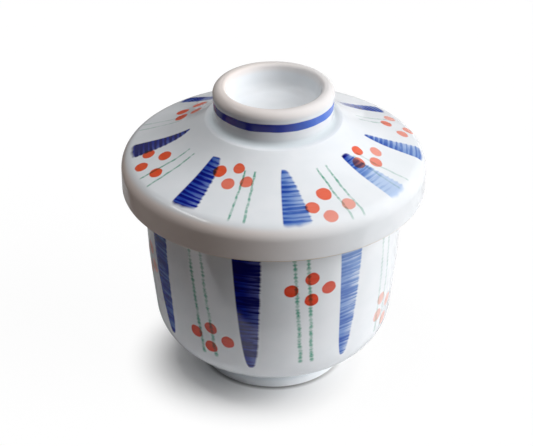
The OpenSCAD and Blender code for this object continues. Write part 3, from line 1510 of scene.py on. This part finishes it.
@dataclass
class Studio:
    """The stage: a pale floor, soft light from the right and the camera at the photograph's angle."""

    floor_size_m: float = 6.0
    floor_roughness: float = 0.9
    floor_near: Colour = (0.8, 0.8, 0.8)
    lift_near: Colour = (0.03, 0.03, 0.03)
    floor_far: Colour = (0.06, 0.06, 0.06)
    lift_far: Colour = (0.95, 0.95, 0.95)
    shade_place_m: tuple[float, float, float] = (-0.008, -0.006, 0.0)
    shade_edge_m: Span = (0.018, 0.037)
    # Painted contact shadow: a dark disc on the floor under the foot, fading out just past its edge
    foot_m: float = 0.0208
    contact_shadow_m: float = 0.0017
    contact_shadow_share: float = 0.7
    sheet_left_m: float = -0.108
    sheet_front_m: float = -0.066
    sheet_bounce: Colour = (0.86, 0.86, 0.87)
    table_from_m: float = -0.044
    table_bounce: Colour = (0.09, 0.055, 0.04)
    room_bounce: Colour = (0.05, 0.052, 0.055)
    edge_m: float = 0.002
    shadow_front_m: Span = (-0.03, -0.048)
    shadow_right_m: float = 0.03
    shadow_mirrored: float = 0.45
    # Glow of the sheet's front strip in reflections, a painted reflection of sunlit paper
    floor_mirrored: float = 0.52
    sky_mirrored: float = 0.25
    sky: Colour = (0.012, 0.012, 0.014)
    ceiling: Colour = (0.2, 0.2, 0.2)
    ceiling_from: Span = (0.35, 0.85)
    camera_place_m: tuple[float, float, float] = (0.0, -0.4060, 0.2918)
    camera_pitch: float = 58.57
    camera_yaw: float = 0.28
    focal_px: float = 1642.0
    sensor_mm: float = 36.0
    clip_m: float = 0.01

    def build(self) -> None:
        """Sets up the whole stage."""
        self._floor()
        self._sky()
        self._lamps()
        self._camera()
        bpy.context.scene.view_settings.view_transform = "Standard"

    @staticmethod
    def _rays(canvas: Canvas) -> tuple[Wire, Wire]:
        """Tells rays that show the stage to the camera, and rays that show it in gloss or glass.

        Args:
            canvas: The node tree of the floor or of the world.

        Returns:
            The masks of the two kinds.
        """
        path = canvas.node("ShaderNodeLightPath").outputs
        camera, glossy, through = (
            Wire(canvas, path[f"Is {kind} Ray"]) for kind in ("Camera", "Glossy", "Transmission")
        )
        return camera, glossy.at_least(through)

    def _floor(self) -> None:
        """Lays a white sheet that keeps the cup's shadow, on a table that only gloss and bounce show."""
        half = self.floor_size_m / 2
        mesh = bpy.data.meshes.new("studio_floor")
        corners = [(-half, -half, 0), (half, -half, 0), (half, half, 0), (-half, half, 0)]
        mesh.from_pydata(corners, [], [(0, 1, 2, 3)])
        material = bpy.data.materials.new("studio_floor_matt")
        canvas = Canvas(material)
        camera, glossy = self._rays(canvas)
        spot = canvas.node("ShaderNodeTexCoord").outputs["Object"]
        x, y = canvas.dot(spot, Vector((1, 0, 0))), canvas.dot(spot, Vector((0, 1, 0)))
        edge = self.edge_m
        beyond = x.step(self.sheet_left_m + edge, self.sheet_left_m - edge)
        beyond = beyond.at_least(y.step(self.sheet_front_m + edge, self.sheet_front_m - edge))
        table = x.step(self.table_from_m + edge, self.table_from_m - edge)
        bounce = canvas.mix(table, self.room_bounce, self.table_bounce)
        bounce = canvas.mix(beyond, self.sheet_bounce, bounce)
        front = y.step(*self.shadow_front_m) * (1 - beyond)
        lit = front.at_least(x.step(-self.shadow_right_m, self.shadow_right_m))
        shadow = glossy * (1 - lit) * (1 - self.shadow_mirrored)
        bounce = canvas.mix(shadow, bounce, BLACK)
        clear = canvas.distance(spot, Vector(self.shade_place_m)).step(*self.shade_edge_m)
        # Painted contact shadow under the foot
        contact_shadow = canvas.distance(spot, Vector()).step(self.foot_m + self.contact_shadow_m, self.foot_m)
        shown = canvas.mix(clear, self.floor_near, self.floor_far)
        shown = canvas.mix(contact_shadow * self.contact_shadow_share, shown, BLACK)
        lift = canvas.mix(clear, self.lift_near, self.lift_far)
        # Painted reflection: for glossy rays the front strip of the sheet glows, standing for sunlit paper
        # mirrored in the glaze
        lifted = camera.at_least(glossy * front * self.floor_mirrored)
        inputs = {
            "Base Color": canvas.mix(camera, bounce, shown),
            "Roughness": self.floor_roughness,
            "Specular IOR Level": 0.0,
            "Emission Color": canvas.mix(lifted, BLACK, lift),
            "Emission Strength": 1.0,
        }
        shader = canvas.node("ShaderNodeBsdfPrincipled", None, inputs)
        canvas.node("ShaderNodeOutputMaterial", None, {"Surface": shader.outputs[0]})
        mesh.materials.append(material)
        floor = bpy.data.objects.new("studio_floor", mesh)
        bpy.context.scene.collection.objects.link(floor)

    def _sky(self) -> None:
        """Surrounds the stage with faint even light, seen as a white backdrop under a dim ceiling."""
        world = bpy.data.worlds.new("studio_sky")
        bpy.context.scene.world = world
        canvas = Canvas(world)
        up = canvas.dot(canvas.node("ShaderNodeTexCoord").outputs["Generated"], Vector((0, 0, 1)))
        backdrop = canvas.mix(up.step(*self.ceiling_from), WHITE, self.ceiling)
        camera, glossy = self._rays(canvas)
        colour = canvas.mix(camera.at_least(glossy * self.sky_mirrored), self.sky, backdrop)
        light = canvas.node("ShaderNodeBackground", None, {"Color": colour, "Strength": 1.0})
        canvas.node("ShaderNodeOutputWorld", None, {"Surface": light.outputs[0]})

    @staticmethod
    def _lamps() -> None:
        """Lights the piece from the right, a little from above, and by two small windows on the left."""
        # Azimuth and elevation come first
        lamps = (
            SkyLamp("key_from_the_right", 76.5, 25.0, strength=3.3, width=50.0),
            SkyLamp("light_from_the_left", -108.0, 55.0, strength=0.35, width=20.0),
            SkyLamp("light_from_above", -60.0, 82.0, strength=1.1, width=20.0),
            WindowLamp("near_window", -77.0, 47.0, strength=0.9, wide_m=0.45, high_m=0.09),
            WindowLamp("far_window", -110.0, 40.0, strength=0.08, wide_m=0.07, high_m=0.07),
        )
        for lamp in lamps:
            lamp.build()

    def _camera(self) -> None:
        """Adds the camera."""
        data = bpy.data.cameras.new("camera")
        data.sensor_fit = "HORIZONTAL"
        data.sensor_width = self.sensor_mm
        data.lens = self.focal_px / PHOTO_WIDTH_PX * self.sensor_mm
        data.clip_start = self.clip_m
        camera = bpy.data.objects.new("camera", data)
        camera.location = self.camera_place_m
        turn = (math.radians(self.camera_pitch), 0.0, math.radians(self.camera_yaw))
        camera.rotation_euler = Euler(turn)
        bpy.context.scene.collection.objects.link(camera)
        bpy.context.scene.camera = camera


def main() -> None:
    """Builds the pieces in order, then the stage."""
    logging.basicConfig(level=logging.INFO, format="%(name)s: %(message)s")
    wheel = Wheel()
    cup = Cup()
    for maker in (cup, Lid(cup)):
        piece = maker.build(wheel)
        LOG.info("%s: %d faces", piece.name, len(piece.data.polygons))
    Studio().build()
    LOG.info("studio: floor, sky, lamps and camera")


if __name__ == "__main__":
    main()
